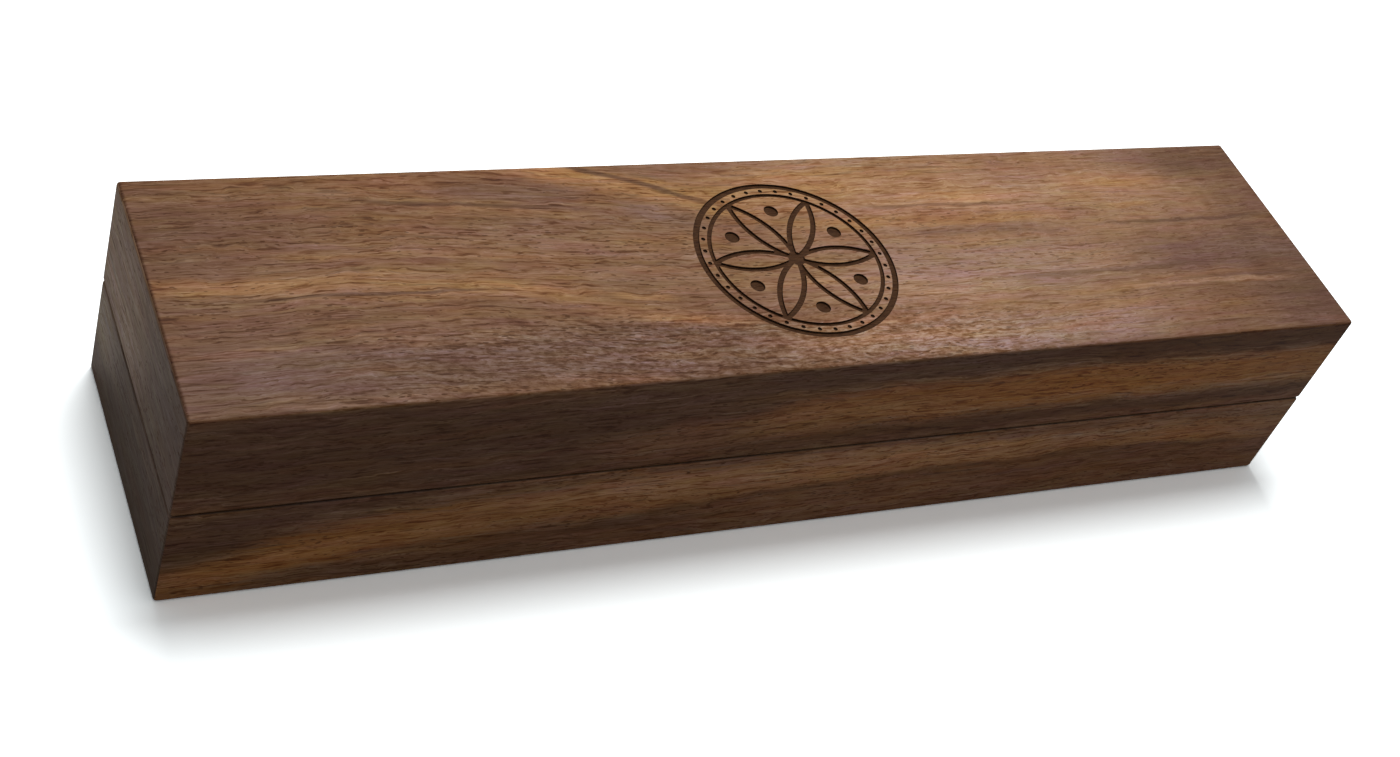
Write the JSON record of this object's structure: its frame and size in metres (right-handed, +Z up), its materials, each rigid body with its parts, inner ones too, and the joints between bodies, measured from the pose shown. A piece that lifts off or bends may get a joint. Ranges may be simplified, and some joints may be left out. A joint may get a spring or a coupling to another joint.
{
  "type": "knife display case",
  "caption": "Long hinged walnut case with mitred boards, an engraved rosette on the lid and a black lined bed cut out for a fixed-blade knife.",
  "frame": {"origin": "centre of the underside of the shut case's boards", "axes": "+X along the case to its right end, -Y to the front, +Y to the hinges, +Z up through the lid"},
  "size_m": [0.33, 0.0774, 0.063],
  "materials": {
    "walnut": "oiled satin walnut, grain along each board",
    "black_lining": "black short-napped velvet over foam",
    "pad_card": "plain grey board behind the lid's pad",
    "brass": "brushed solid brass",
    "nickel": "nickel plate, satin"
  },
  "bodies": {
    "base": {"base_front_rail": "walnut", "base_right_rail": "walnut", "base_back_rail": "walnut", "base_left_rail": "walnut", "base_bottom_panel": "walnut", "bed_floor_pad": "black_lining", "knife_bed": "black_lining", "base_hinge_leaf_left": "brass", "base_hinge_screw_left_outer": "brass", "base_hinge_screw_left_inner": "brass", "base_magnet_left": "nickel", "base_hinge_leaf_right": "brass", "base_hinge_screw_right_outer": "brass", "base_hinge_screw_right_inner": "brass", "base_magnet_right": "nickel", "hinge_pin_left": "brass", "hinge_pin_right": "brass"},
    "lid": {"lid_front_rail": "walnut", "lid_right_rail": "walnut", "lid_back_rail": "walnut", "lid_left_rail": "walnut", "lid_top_panel": "walnut", "lid_pad_board": "pad_card", "lid_pad": "black_lining", "lid_hinge_leaf_left": "brass", "lid_hinge_screw_left_outer": "brass", "lid_hinge_screw_left_inner": "brass", "lid_magnet_left": "nickel", "lid_hinge_leaf_right": "brass", "lid_hinge_screw_right_outer": "brass", "lid_hinge_screw_right_inner": "brass", "lid_magnet_right": "nickel"}
  },
  "joints": [
    {"name": "lid_hinge", "type": "hinge", "parent": "base", "child": "lid", "pos_m": [0, 0.0377, 0.031], "axis": [-1, 0, 0], "range_deg": [0, 95]}
  ]
}
